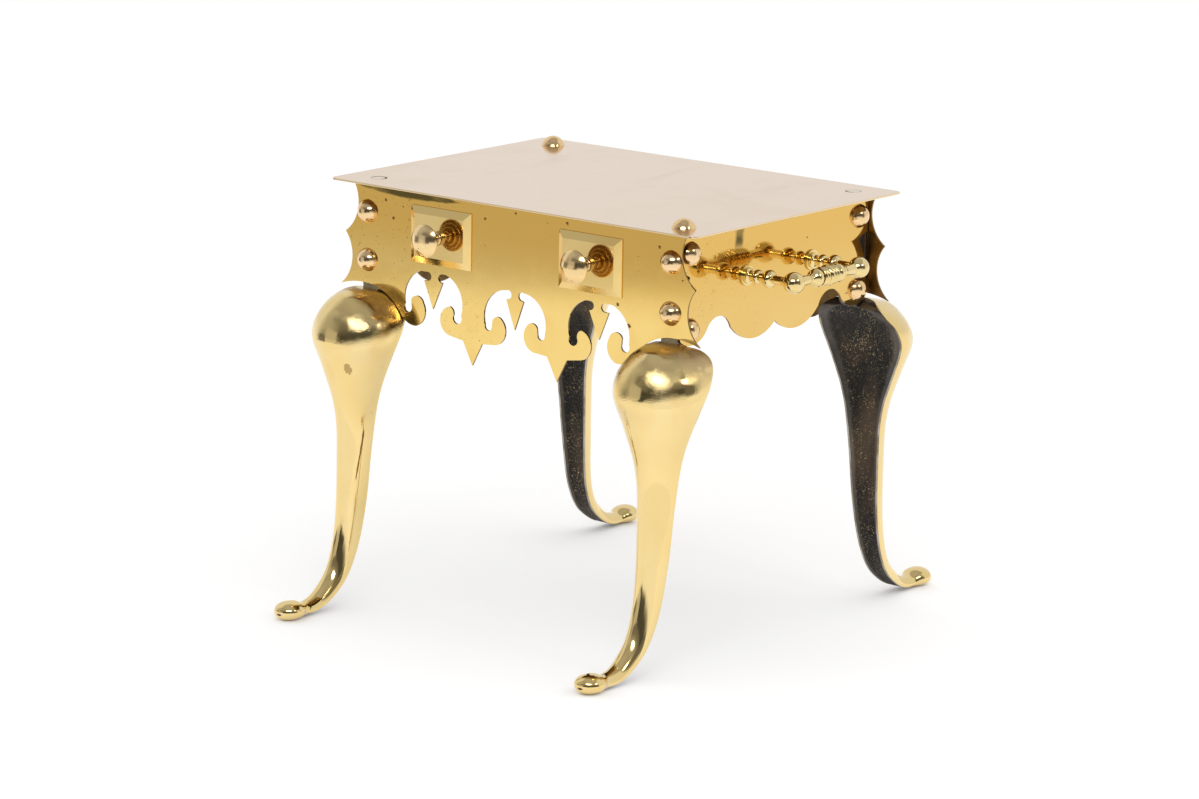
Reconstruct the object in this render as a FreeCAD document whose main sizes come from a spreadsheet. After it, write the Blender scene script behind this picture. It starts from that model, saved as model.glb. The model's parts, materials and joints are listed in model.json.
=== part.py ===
import FreeCAD, Part
import os
from math import asin, cos, pi, sin, sqrt

import Sketcher
from FreeCAD import Placement, Rotation, Vector

# A brass footman: a low fireside stand with a plain sheet top on four cast cabriole legs, pierced
# sheet aprons riveted to the leg posts, two dummy drawer fronts with fixed knobs, and a fixed turned
# handle at each end.  Millimetres; X runs along the front, the front faces -Y, Z is up, and the
# origin is on the floor under the middle of the top.

# ---------------------------------------------------------------------------------- driving sizes

SIZES = (
    ("top_width", 356, "top plate, left to right"),
    ("top_depth", 259, "top plate, front to back"),
    ("top_height", 331, "upper face of the top above the floor"),
    ("top_corner", 6, "corner radius of the top plate"),
    ("top_edge", 0.4, "rounding of the top plate's edges"),
    ("sheet_gauge", 1.5, "thickness of every brass sheet"),
    ("apron_face", 118.2, "outer face of the front and back aprons from the middle"),
    ("side_face", 155.5, "outer face of the side aprons from the middle"),
    ("post_width", 15, "post of a leg, along X"),
    ("post_depth", 16, "post of a leg, along Y"),
    ("post_root", 86, "drop at which the post starts to run into the knee"),
    ("post_end", 104, "drop at which the post has run out into the knee"),
    ("post_end_out", 121, "where the post has run out, from the middle"),
    ("post_end_depth", 7.2, "depth of the post where it has run out"),
    ("leg_across", 149, "middle plane of every leg from the middle"),
    ("rim_width", 2.4, "polished rim around the sunk back of a leg"),
    ("sunk_depth", 1.4, "depth of the sunk back of a leg"),
    ("toe_out", 205.4, "middle of the toe from the middle"),
    ("toe_rise", 6.8, "middle of the toe above the floor"),
    ("toe_width", 23, "toe, left to right"),
    ("toe_length", 24, "toe, front to back"),
    ("toe_thickness", 15, "toe, before its underside is filed flat"),
    ("dome_width", 18.5, "dome rivet head"),
    ("dome_height", 7.4, "height of a dome rivet head"),
    ("shank_width", 5, "rivet shank, stem and spigot holes"),
    ("shank_length", 10, "rivet shank under its head"),
    ("front_rivet_across", 148.3, "front and back rivets from the middle"),
    ("front_rivet_high", 24, "drop of the upper front and back rivets"),
    ("front_rivet_low", 62, "drop of the lower front and back rivets"),
    ("side_rivet_out", 104.5, "side rivets from the middle"),
    ("side_rivet_high", 18.5, "drop of the upper side rivets"),
    ("side_rivet_low", 75.5, "drop of the lower side rivets"),
    ("top_rivet_across", 149, "top rivets from the middle, along X"),
    ("top_rivet_out", 105, "top rivets from the middle, along Y"),
    ("stub_width", 11.4, "flush rivet stub in the top plate"),
    ("stub_hole", 12.2, "worn hole around a flush stub"),
    ("drawer_across", 73, "middle of a dummy drawer front from the middle"),
    ("drawer_drop", 34.8, "middle of a dummy drawer front below the top"),
    ("drawer_width", 60, "dummy drawer front, left to right"),
    ("drawer_tall", 44, "dummy drawer front, top to bottom"),
    ("drawer_thickness", 4, "dummy drawer front, apron to flat field"),
    ("drawer_bevel", 5.5, "width of its bevel"),
    ("drawer_land", 1, "upright edge left outside its bevel"),
    ("knob_width", 25.3, "knob head"),
    ("knob_reach", 16.5, "rim of the knob head from the drawer front"),
    ("knob_crown", 5, "height of the crown of the knob head"),
    ("knob_stem", 6.4, "stem of the knob"),
    ("nut_width", 9, "square nut"),
    ("nut_thickness", 3.5, "square nut"),
    ("stem_proud", 1, "threaded end of a stem past its nut"),
    ("handle_drop", 44, "handle arms below the top"),
    ("handle_span", 81, "distance between the two arms of a handle"),
    ("handle_set", 3.5, "how far the handles stand behind the middle of the side"),
    ("arm_length", 44, "side apron to the middle of the corner ball"),
    ("ball_width", 16.4, "corner ball of a handle"),
    ("spigot_width", 4.4, "spigot of the grip bar"),
    ("spigot_length", 5, "spigot of the grip bar inside the ball"),
)

# One leg, from the crown of the knee down to the neck of the foot.  At each station: the drop of
# the back of the leg below the top, its distance out from the middle, the lean of the section from
# level in degrees, half the width, and the depth from the flat back to the rounded front.
LEG_STATIONS = (
    ("crown", 84, 117, 0, 8, 20),
    ("crest", 85.2, 115.2, 0, 15, 26.8),
    ("brow", 88, 109.5, 0, 22, 39),
    ("temple", 92, 108, 0, 28, 45),
    ("shoulder", 97, 109.5, 0, 32.5, 47.5),
    ("knee_over", 104, 114.5, 0, 36.6, 46),
    ("knee", 112, 119.3, 0, 38.2, 43.7),
    ("knee_under", 122, 123.5, 0, 36.8, 40.6),
    ("thigh", 135, 125.5, 0, 32, 34),
    ("calf", 150, 126.5, 0, 26, 28.4),
    ("calf_under", 168, 126.5, 0, 19.8, 23.4),
    ("shin", 190, 127, 0, 16, 19.6),
    ("shin_under", 215, 129, 2, 14.2, 17.8),
    ("ankle_over", 240, 130.8, 4, 12.9, 17),
    ("ankle", 262, 133.8, 9, 11.7, 15.8),
    ("heel_over", 282, 138.5, 17, 10.8, 14.4),
    ("heel", 298.5, 145.2, 29, 10, 13),
    ("sole_back", 310, 153, 42, 9.4, 11.6),
    ("sole", 318.5, 163, 55, 8.9, 10.2),
    ("arch", 325, 174.5, 69, 8.3, 8.8),
    ("neck", 328, 186, 80, 7.8, 8.2),
    ("toe_root", 328.6, 196, 88, 8.2, 9),
)
STATION_SIZES = ("drop", "out", "lean", "half", "depth")
SUNK_FROM = "shoulder"
SUNK_TO = "arch"

# ------------------------------------------------------------------------- pierced sheet outlines

# Right half of the front and back aprons, from the top corner round to the point of the middle
# pendant: distance from the middle and height from the upper face of the top.  A line has its end,
# an arc a point on its way and its end.
FRONT_APRON_TOP = 163
FRONT_APRON_HALF = (
    ("arc", (158.2, -22), (171, -42)),
    ("arc", (164, -61), (176, -84)),
    ("arc", (163, -80.8), (146, -80.4)),
    ("arc", (126.5, -87.6), (113, -100.6)),
    ("arc", (106.4, -105.8), (98.5, -107)),
    ("arc", (89.6, -97), (91.5, -88)),
    ("arc", (97.5, -83.4), (103.4, -86.8)),
    ("line", (103, -92)),
    ("arc", (107.6, -97.2), (110, -91)),
    ("arc", (106.5, -73), (94, -63.4)),
    ("line", (87, -63.2)),
    ("arc", (83.2, -66.6), (86.6, -70)),
    ("line", (90.5, -70.2)),
    ("line", (81.5, -91.5)),
    ("line", (72, -70.2)),
    ("line", (73.6, -70)),
    ("arc", (76.4, -66.6), (73, -63.2)),
    ("line", (69, -63.2)),
    ("arc", (54, -75.5), (53.2, -93)),
    ("arc", (57.4, -99.6), (61.2, -94.5)),
    ("arc", (61.2, -89.6), (64.5, -87)),
    ("arc", (74, -97), (64, -109.6)),
    ("line", (51, -111.6)),
    ("line", (41.5, -129.5)),
    ("line", (32, -111.6)),
    ("line", (21.5, -110.6)),
    ("arc", (9, -99), (13, -90)),
    ("arc", (18.5, -88.6), (21.8, -91.5)),
    ("line", (22.4, -96.6)),
    ("arc", (26, -100.2), (29.4, -96)),
    ("arc", (25, -74.6), (8.5, -66.6)),
    ("arc", (3.4, -69), (5.6, -72.8)),
    ("line", (8.4, -73.4)),
    ("line", (0, -96)),
)

# Right half of the side aprons, from the top corner round to the cusp in the middle.
SIDE_APRON_TOP = 116.6
SIDE_APRON_HALF = (
    ("arc", (115.8, -16), (115.8, -32)),
    ("arc", (110.6, -33.2), (104.6, -36.4)),
    ("arc", (112.2, -51.5), (115.6, -68)),
    ("arc", (116.6, -76), (114.6, -83.2)),
    ("arc", (98.5, -87.4), (83.6, -79)),
    ("arc", (69, -70.2), (54.5, -80.6)),
    ("arc", (24, -93.4), (0, -84)),
)

# ------------------------------------------------------------------------------ turned outlines

# Underside of a knob's head between its rim and its stem: share of the head's radius, and distance
# towards the drawer front from the rim.
KNOB_UNDERSIDE = (
    ("line", (0.78, 2.2)),
    ("arc", (0.74, 3.2), (0.66, 3.4)),
    ("line", (0.56, 4)),
    ("arc", (0.52, 5.2), (0.42, 5.6)),
)
# Rounded lip under the rim, the flare into the stem, and the collar at its foot.
KNOB_LIP = ((0.1, 1), (0.6, 1.6))
KNOB_FLARE = (6.6, 8.4)
KNOB_FOOT_GROWTH = 1.7
KNOB_FOOT = (3, 1.9, 1.6)

# Beads of one handle arm: distance from the side apron, radius, and half the length of the bead.
ARM_BEADS = ((10.6, 5.6, 3.1), (21.6, 6.8, 4.4))
ARM_NECK = 3.3
ARM_FLARE = 0.6
ARM_COLLAR = ((7.8, 1.6), (5.9, 3.2), (4.2, 5.2))
ARM_TAPER = 3

# Beads of the grip bar on one side of its middle, the grooves between them, its slim neck and the
# shoulder that seats on the corner ball.
BAR_BEADS = ((0, 8, 2.5), (4.2, 7.2, 1.3), (7.2, 7.3, 1.3), (13.4, 7, 4.1))
BAR_GROOVE = 4.8
BAR_NECK = 3.4
BAR_NECK_FROM = 19
BAR_NECK_AT = 23
BAR_SHOULDER = 4.2

document = FreeCAD.newDocument("footman")
sheet = document.addObject("Spreadsheet::Sheet", "Sizes")


def fill_sheet():
    """Writes every driving size into the sheet, one row and one alias each."""
    rows = list(SIZES)
    for station, *numbers in LEG_STATIONS:
        for quantity, number in zip(STATION_SIZES, numbers):
            rows.append((f"{station}_{quantity}", number, f"leg at the {station}: {quantity}"))
    for row, (alias, number, meaning) in enumerate(rows, start=1):
        sheet.set(f"A{row}", meaning)
        sheet.set(f"B{row}", str(number))
        sheet.setAlias(f"B{row}", alias)
    document.recompute()


class Size:
    """A length that carries its number and the sheet formula behind it."""

    def __init__(self, number, formula=None):
        self.number = number
        self.formula = formula or f"{number:.6f}"

    def join(self, other, number, sign):
        return Size(number, f"({self.formula} {sign} {other.formula})")

    def __add__(self, other):
        other = as_size(other)
        return self.join(other, self.number + other.number, "+")

    def __sub__(self, other):
        other = as_size(other)
        return self.join(other, self.number - other.number, "-")

    def __mul__(self, other):
        other = as_size(other)
        return self.join(other, self.number * other.number, "*")

    def __truediv__(self, other):
        other = as_size(other)
        return self.join(other, self.number / other.number, "/")

    def __neg__(self):
        return Size(-self.number, f"(-1 * {self.formula})")


def as_size(length):
    return length if isinstance(length, Size) else Size(length)


def size(alias):
    """The driving size of that name, with its cell as the formula."""
    return Size(float(getattr(sheet, alias)), f"Sizes.{alias}")


def bind(thing, path, length):
    thing.setExpression(path, as_size(length).formula)


def height_at(drop):
    """Height above the floor of a place given by its drop below the top."""
    return size("top_height") - drop


# --------------------------------------------------------------------------------- sketch helpers


def new_body(label):
    body = document.addObject("PartDesign::Body", label)
    body.Label = label
    return body


def attach(thing, body, plane, offset, rotation=Rotation()):
    """Fixes a sketch or a primitive to one of its own body's origin planes."""
    support = next(item for item in body.Origin.OriginFeatures if item.Role == plane)
    thing.AttachmentSupport = [(support, "")]
    thing.MapMode = "FlatFace"
    thing.AttachmentOffset = Placement(Vector(), rotation)
    for axis, length in zip("xyz", offset):
        bind(thing, f"AttachmentOffset.Base.{axis}", length)


def new_sketch(body, plane, across=0, up=0, out=0, lean=0):
    """An empty sketch on one of the body's origin planes, moved by sizes in the sketch's own axes."""
    sketch = body.newObject("Sketcher::SketchObject", f"{body.Name}_sketch")
    attach(sketch, body, plane, (across, up, out), Rotation(Vector(1, 0, 0), -lean))
    return sketch


def pin(sketch, geometry, point, across, up):
    """Holds one point of a sketch at its distances from the sketch's origin."""
    for kind, length in (("DistanceX", as_size(across)), ("DistanceY", as_size(up))):
        constraint = Sketcher.Constraint(kind, -1, 1, geometry, point, length.number)
        index = sketch.addConstraint(constraint)
        bind(sketch, f"Constraints[{index}]", length)


def add_circle(sketch, across, up, width):
    """A circle whose centre and diameter follow the sheet."""
    centre = Vector(as_size(across).number, as_size(up).number)
    circle = sketch.addGeometry(Part.Circle(centre, Vector(0, 0, 1), as_size(width).number / 2))
    pin(sketch, circle, 3, across, up)
    index = sketch.addConstraint(Sketcher.Constraint("Radius", circle, as_size(width).number / 2))
    bind(sketch, f"Constraints[{index}]", as_size(width) / 2)


def add_polygon(sketch, corners):
    """A closed run of lines whose corners follow the sheet."""
    points = [Vector(as_size(x).number, as_size(y).number) for x, y in corners]
    for index, (start, end) in enumerate(zip(points, points[1:] + points[:1])):
        line = sketch.addGeometry(Part.LineSegment(start, end))
        pin(sketch, line, 1, *corners[index])
        if line:
            sketch.addConstraint(Sketcher.Constraint("Coincident", line - 1, 2, line, 1))
    sketch.addConstraint(Sketcher.Constraint("Coincident", line, 2, 0, 1))


def add_rectangle(sketch, across, up, width, tall):
    """A rectangle given by its middle and its two sides."""
    across, up, width, tall = (as_size(length) for length in (across, up, width, tall))
    left, right = across - width / 2, across + width / 2
    low, high = up - tall / 2, up + tall / 2
    add_polygon(sketch, ((left, low), (right, low), (right, high), (left, high)))


def draw_strokes(sketch, start, strokes):
    """Draws lines and three-point arcs one after the other, each from where the last one ended."""
    for kind, *points in strokes:
        points = [Vector(*point) for point in points]
        if kind == "line":
            sketch.addGeometry(Part.LineSegment(start, points[0]))
        else:
            sketch.addGeometry(Part.Arc(start, points[0], points[1]))
        start = points[-1]


def mirrored_strokes(start, strokes):
    """The same strokes on the other side of the middle line, walked backwards from their end."""
    ends = [start] + [points[-1] for kind, *points in strokes]
    flipped = []
    for (kind, *points), begin in zip(reversed(strokes), reversed(ends[:-1])):
        way = [begin] if kind == "line" else [points[0], begin]
        flipped.append((kind, *((-x, y) for x, y in way)))
    return flipped


def pad(body, sketch, length):
    feature = body.newObject("PartDesign::Pad", f"{body.Name}_pad")
    feature.Profile = sketch
    bind(feature, "Length", length)
    document.recompute()
    return feature


def pocket(body, sketch, length):
    """Cuts the sketch into the body against the sketch's normal, and makes sure that it cut."""
    before = body.Shape.Volume
    feature = body.newObject("PartDesign::Pocket", f"{body.Name}_pocket")
    feature.Profile = sketch
    bind(feature, "Length", length)
    document.recompute()
    if body.Shape.Volume >= before:
        raise RuntimeError(f"a pocket of {body.Label} cut nothing")


def turned(label, start, strokes):
    """A solid of revolution about its own Z, from a closed outline of radius and height."""
    body = new_body(label)
    sketch = new_sketch(body, "XZ_Plane")
    draw_strokes(sketch, Vector(*start), strokes)
    feature = body.newObject("PartDesign::Revolution", f"{label}_turning")
    feature.Profile = sketch
    feature.ReferenceAxis = (sketch, ["V_Axis"])
    feature.Angle = 360
    document.recompute()
    return body


# Which way the axis of a turned piece points once it is in its place.
TOWARDS = {
    "front": Rotation(Vector(1, 0, 0), 90),
    "back": Rotation(Vector(1, 0, 0), -90),
    "right": Rotation(Vector(0, 1, 0), 90),
    "left": Rotation(Vector(0, 1, 0), -90),
    "top": Rotation(),
}


def place(thing, rotation, across, out, up):
    """Stands a piece in its place, with every coordinate following the sheet."""
    thing.Placement = Placement(Vector(), rotation)
    for axis, length in zip("xyz", (across, out, up)):
        bind(thing, f"Placement.Base.{axis}", length)


def mirror(label, source, normal):
    """The same piece on the other side of the middle plane with that normal."""
    copy = document.addObject("Part::Mirroring", label)
    copy.Label = label
    copy.Source = source
    copy.Normal = normal
    return copy


def group(label, pieces):
    """Separate identical solids that share one node."""
    compound = document.addObject("Part::Compound", label)
    compound.Label = label
    compound.Links = pieces
    return compound


# ------------------------------------------------------------------------------------- the pieces


def make_top_plate():
    """Plain sheet top, its corners rounded, with a rivet hole over each post."""
    body = new_body("top_plate")
    sketch = new_sketch(body, "XY_Plane", out=height_at(size("sheet_gauge")))
    add_rectangle(sketch, 0, 0, size("top_width"), size("top_depth"))
    across, out = size("top_rivet_across"), size("top_rivet_out")
    for x, y, width in (
        (across, -out, "shank_width"),
        (-across, out, "shank_width"),
        (-across, -out, "stub_hole"),
        (across, out, "stub_hole"),
    ):
        add_circle(sketch, x, y, size(width))
    plate = pad(body, sketch, size("sheet_gauge"))
    upright = [
        f"Edge{number}"
        for number, edge in enumerate(plate.Shape.Edges, start=1)
        if edge.Curve.TypeId == "Part::GeomLine" and abs(edge.tangentAt(edge.FirstParameter).z) > 0.9
    ]
    corners = body.newObject("PartDesign::Fillet", "top_plate_corners")
    corners.Base = (plate, upright)
    bind(corners, "Radius", size("top_corner"))
    document.recompute()
    faces = [
        f"Face{number}"
        for number, face in enumerate(corners.Shape.Faces, start=1)
        if face.Surface.TypeId == "Part::GeomPlane" and abs(face.normalAt(0, 0).z) > 0.9
    ]
    edges = body.newObject("PartDesign::Fillet", "top_plate_edges")
    edges.Base = (corners, outer_edges(corners.Shape, faces))
    bind(edges, "Radius", size("top_edge"))
    return body


def outer_edges(shape, faces):
    """Names of the edges in the outer wires of the named faces."""
    names = []
    for face in faces:
        for wire_edge in shape.getElement(face).OuterWire.Edges:
            for number, edge in enumerate(shape.Edges, start=1):
                if edge.isSame(wire_edge):
                    names.append(f"Edge{number}")
    return names


def make_apron(label, plane, face, front, start, half, holes):
    """Sheet apron with a symmetrical outline; its outer face looks away from the middle."""
    body = new_body(label)
    out = face - size("sheet_gauge") if front else -face
    sketch = new_sketch(body, plane, up=size("top_height"), out=out)
    top = -float(sheet.sheet_gauge)
    strokes = list(half) + mirrored_strokes((start, top), half) + [("line", (start, top))]
    draw_strokes(sketch, Vector(start, top), strokes)
    for across, drop in holes:
        add_circle(sketch, across, -drop, size("shank_width"))
    pad(body, sketch, size("sheet_gauge"))
    return body


def both_ways(length):
    return (length, -length)


def front_rivets():
    """Places of the rivets of the front and back aprons: along the apron, and drop."""
    drops = (size("front_rivet_high"), size("front_rivet_low"))
    return [(across, drop) for drop in drops for across in both_ways(size("front_rivet_across"))]


def side_rivets():
    """Places of the rivets of the side aprons: along the apron, and drop."""
    drops = (size("side_rivet_high"), size("side_rivet_low"))
    return [(out, drop) for drop in drops for out in both_ways(size("side_rivet_out"))]


def make_aprons():
    knob_stems = [(across, size("drawer_drop")) for across in both_ways(size("drawer_across"))]
    handle_stems = [
        (size("handle_set") + end, size("handle_drop")) for end in both_ways(size("handle_span") / 2)
    ]
    front, side = size("apron_face"), size("side_face")
    front_shape = (FRONT_APRON_TOP, FRONT_APRON_HALF)
    side_shape = (SIDE_APRON_TOP, SIDE_APRON_HALF)
    side_holes = side_rivets() + handle_stems
    return [
        make_apron("front_apron", "XZ_Plane", front, True, *front_shape, front_rivets() + knob_stems),
        make_apron("back_apron", "XZ_Plane", front, False, *front_shape, front_rivets()),
        make_apron("right_side_apron", "YZ_Plane", side, True, *side_shape, side_holes),
        make_apron("left_side_apron", "YZ_Plane", side, False, *side_shape, side_holes),
    ]


def station_sketch(body, station):
    """A sketch across the leg at a station, with Y of the sketch pointing to the back of the leg."""
    return new_sketch(
        body,
        "XY_Plane",
        across=size("leg_across"),
        up=-size(f"{station}_out"),
        out=height_at(size(f"{station}_drop")),
        lean=float(getattr(sheet, f"{station}_lean")),
    )


def loft(body, kind, sketches):
    feature = body.newObject(f"PartDesign::{kind}", f"{body.Name}_{kind}")
    feature.Profile = sketches[0]
    feature.Sections = sketches[1:]
    document.recompute()


def make_leg():
    """Front right leg: a cabriole casting with a flat sunk back, its square post and its toe."""
    body = new_body("front_right_leg")
    sections = []
    for station, *_ in LEG_STATIONS:
        half, depth = size(f"{station}_half").number, size(f"{station}_depth").number
        sketch = station_sketch(body, station)
        if depth > half:
            oval = Part.Ellipse(Vector(0, -depth), Vector(half, 0), Vector())
            span = (-pi / 2, pi / 2)
        else:
            oval = Part.Ellipse(Vector(half, 0), Vector(0, depth), Vector())
            span = (pi, 2 * pi)
        sketch.addGeometry(Part.ArcOfEllipse(oval, *span))
        sketch.addGeometry(Part.LineSegment(Vector(half, 0), Vector(-half, 0)))
        sections.append(sketch)
    loft(body, "AdditiveLoft", sections)

    toe = body.newObject("PartDesign::AdditiveEllipsoid", "toe")
    bind(toe, "Radius1", size("toe_thickness") / 2)
    bind(toe, "Radius2", size("toe_width") / 2)
    bind(toe, "Radius3", size("toe_length") / 2)
    attach(toe, body, "XY_Plane", (size("leg_across"), -size("toe_out"), size("toe_rise")))
    document.recompute()

    floor = new_sketch(body, "XY_Plane", across=size("leg_across"), up=-size("toe_out"))
    add_rectangle(floor, 0, 0, size("toe_width") * 2, size("toe_length") * 2)
    pocket(body, floor, size("toe_thickness"))

    names = [station for station, *_ in LEG_STATIONS]
    sunk = []
    for station in names[names.index(SUNK_FROM) : names.index(SUNK_TO) + 1]:
        sketch = station_sketch(body, station)
        width = (size(f"{station}_half") - size("rim_width")) * 2
        add_rectangle(sketch, 0, 0, width, size("sunk_depth") * 2)
        sunk.append(sketch)
    before = body.Shape.Volume
    loft(body, "SubtractiveLoft", sunk)
    if body.Shape.Volume >= before:
        raise RuntimeError("the back of the leg was not sunk")

    gauge = size("sheet_gauge")
    inside_x, inside_y = size("side_face") - gauge, size("apron_face") - gauge
    middle = (inside_x - size("post_width") / 2, size("post_depth") / 2 - inside_y)
    sketch = new_sketch(body, "XY_Plane", out=height_at(size("post_root")))
    add_rectangle(sketch, *middle, size("post_width"), size("post_depth"))
    pad(body, sketch, size("post_root") - gauge)
    end = new_sketch(body, "XY_Plane", out=height_at(size("post_end")))
    add_rectangle(end, middle[0], -size("post_end_out"), size("post_width"), size("post_end_depth"))
    root = new_sketch(body, "XY_Plane", out=height_at(size("post_root")))
    add_rectangle(root, *middle, size("post_width"), size("post_depth"))
    loft(body, "AdditiveLoft", [root, end])

    hole_depth = size("shank_length") - gauge
    front = new_sketch(body, "XZ_Plane", up=size("top_height"), out=inside_y)
    for drop in ("front_rivet_high", "front_rivet_low"):
        add_circle(front, size("front_rivet_across"), -size(drop), size("shank_width"))
    pocket(body, front, hole_depth)
    side = new_sketch(body, "YZ_Plane", up=size("top_height"), out=inside_x)
    for drop in ("side_rivet_high", "side_rivet_low"):
        add_circle(side, -size("side_rivet_out"), -size(drop), size("shank_width"))
    pocket(body, side, hole_depth)
    top = new_sketch(body, "XY_Plane", out=height_at(gauge))
    add_circle(top, size("top_rivet_across"), -size("top_rivet_out"), size("shank_width"))
    pocket(body, top, hole_depth)
    return body


def make_legs():
    right = make_leg()
    back = mirror("back_right_leg", right, Vector(0, 1, 0))
    return [
        right,
        back,
        mirror("front_left_leg", right, Vector(1, 0, 0)),
        mirror("back_left_leg", back, Vector(1, 0, 0)),
    ]


def make_dome_rivet(label, towards, across, out, up):
    """Dome-headed rivet; its place is the middle of the underside of the head."""
    radius, tall = sheet.dome_width / 2, float(sheet.dome_height)
    shank, length = sheet.shank_width / 2, float(sheet.shank_length)
    ball = (radius**2 + tall**2) / (2 * tall)
    turn = asin(radius / ball) / 2
    half_way = (ball * sin(turn), tall - ball + ball * cos(turn))
    strokes = (
        ("arc", half_way, (radius, 0)),
        ("line", (shank, 0)),
        ("line", (shank, -length)),
        ("line", (0, -length)),
        ("line", (0, tall)),
    )
    body = turned(label, (0, tall), strokes)
    place(body, TOWARDS[towards], across, out, up)
    return body


def make_apron_rivets():
    """Four dome rivets through each apron, two into each post behind it."""
    nodes = []
    for side, face in (("front", -size("apron_face")), ("back", size("apron_face"))):
        rivets = [
            make_dome_rivet(f"{side}_rivet_{number}", side, across, face, height_at(drop))
            for number, (across, drop) in enumerate(front_rivets(), start=1)
        ]
        nodes.append(group(f"{side}_apron_rivets", rivets))
    for side, face in (("left", -size("side_face")), ("right", size("side_face"))):
        rivets = [
            make_dome_rivet(f"{side}_rivet_{number}", side, face, out, height_at(drop))
            for number, (out, drop) in enumerate(side_rivets(), start=1)
        ]
        nodes.append(group(f"{side}_apron_rivets", rivets))
    return nodes


def make_top_rivets():
    """Dome rivets on two opposite corners; on the other two only the flush stubs are left."""
    across, out = size("top_rivet_across"), size("top_rivet_out")
    domes = [
        make_dome_rivet("top_dome_front", "top", across, -out, size("top_height")),
        make_dome_rivet("top_dome_back", "top", -across, out, size("top_height")),
    ]
    gauge, length = float(sheet.sheet_gauge), float(sheet.shank_length)
    head, shank = sheet.stub_width / 2, sheet.shank_width / 2
    strokes = (
        ("line", (head, 0)),
        ("line", (head, -gauge)),
        ("line", (shank, -gauge)),
        ("line", (shank, -length)),
        ("line", (0, -length)),
        ("line", (0, 0)),
    )
    stubs = []
    for name, sign in (("top_stub_front", -1), ("top_stub_back", 1)):
        stub = turned(name, (0, 0), strokes)
        place(stub, TOWARDS["top"], across * sign, out * sign, size("top_height"))
        stubs.append(stub)
    return [group("top_dome_rivets", domes), group("top_rivet_stubs", stubs)]


def make_drawer_front(label, across):
    """Dummy drawer front: a bevelled rectangular plate with a hole for the knob's stem."""
    body = new_body(label)
    land, thickness = size("drawer_land"), size("drawer_thickness")
    width, tall = size("drawer_width"), size("drawer_tall")
    levels = (
        (size("apron_face"), width, tall),
        (size("apron_face") + land, width, tall),
        (size("apron_face") + thickness, width - size("drawer_bevel") * 2, tall - size("drawer_bevel") * 2),
    )
    sketches = []
    for level, level_width, level_tall in levels:
        sketch = new_sketch(body, "XZ_Plane", up=size("top_height"), out=level)
        add_rectangle(sketch, across, -size("drawer_drop"), level_width, level_tall)
        sketches.append(sketch)
    pad(body, sketches[0], land)
    loft(body, "AdditiveLoft", sketches[1:])
    stem = new_sketch(body, "XZ_Plane", up=size("top_height"), out=size("apron_face") + thickness)
    add_circle(stem, across, -size("drawer_drop"), size("shank_width"))
    pocket(body, stem, thickness)
    return body


def make_knob(label, across):
    """Fixed mushroom knob with a ringed underside, its stem and its threaded end."""
    rim, stem = sheet.knob_width / 2, sheet.knob_stem / 2
    reach, crown = float(sheet.knob_reach), float(sheet.knob_crown)
    shank = sheet.shank_width / 2
    behind = sheet.drawer_thickness + sheet.sheet_gauge + sheet.nut_thickness + sheet.stem_proud
    ball = (rim**2 + crown**2) / (2 * crown)
    half_way = (rim / 2, reach + crown - ball + sqrt(ball**2 - (rim / 2) ** 2))
    (lip_side, lip_half), (lip_in, lip_end) = KNOB_LIP
    flare_half, flare_end = KNOB_FLARE
    foot_start, foot_half, foot_end = KNOB_FOOT
    foot = stem * KNOB_FOOT_GROWTH
    strokes = [
        ("arc", half_way, (rim, reach)),
        ("arc", (rim - lip_side, reach - lip_half), (rim - lip_in, reach - lip_end)),
    ]
    for kind, *points in KNOB_UNDERSIDE:
        strokes.append((kind, *((share * rim, reach - behind_rim) for share, behind_rim in points)))
    strokes += [
        ("arc", (stem * 1.1, reach - flare_half), (stem, reach - flare_end)),
        ("line", (stem, foot_start)),
        ("arc", (stem * 1.2, foot_half), (foot, foot_end)),
        ("line", (foot, 0)),
        ("line", (shank, 0)),
        ("line", (shank, -behind)),
        ("line", (0, -behind)),
        ("line", (0, reach + crown)),
    ]
    body = turned(label, (0, reach + crown), strokes)
    face = -size("apron_face") - size("drawer_thickness")
    place(body, TOWARDS["front"], across, face, height_at(size("drawer_drop")))
    return body


def make_nut(label, towards, across, out, up):
    """Square nut on a stem, standing inwards from the inner face of its apron."""
    block = document.addObject("Part::Box", f"{label}_block")
    bore = document.addObject("Part::Cylinder", f"{label}_bore")
    for side in ("Length", "Width"):
        bind(block, side, size("nut_width"))
        bind(block, f"Placement.Base.{'x' if side == 'Length' else 'y'}", -size("nut_width") / 2)
    bind(block, "Height", size("nut_thickness"))
    bind(bore, "Height", size("nut_thickness"))
    bind(bore, "Radius", size("shank_width") / 2)
    nut = document.addObject("Part::Cut", label)
    nut.Base = block
    nut.Tool = bore
    place(nut, TOWARDS[towards], across, out, up)
    return nut


def make_drawers():
    nodes, nuts = [], []
    inside = size("sheet_gauge") - size("apron_face")
    for side, across in (("left", -size("drawer_across")), ("right", size("drawer_across"))):
        nodes.append(make_drawer_front(f"{side}_drawer_front", across))
        nodes.append(make_knob(f"{side}_knob", across))
        nuts.append(make_nut(f"{side}_knob_nut", "back", across, inside, height_at(size("drawer_drop"))))
    return nodes + [group("knob_nuts", nuts)]


def bead_strokes(middle, radius, half, neck):
    """A bead and the start of the neck after it, walked away from the start of the piece."""
    return [
        ("line", (neck, middle - half)),
        ("arc", (radius, middle), (neck, middle + half)),
    ]


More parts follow.
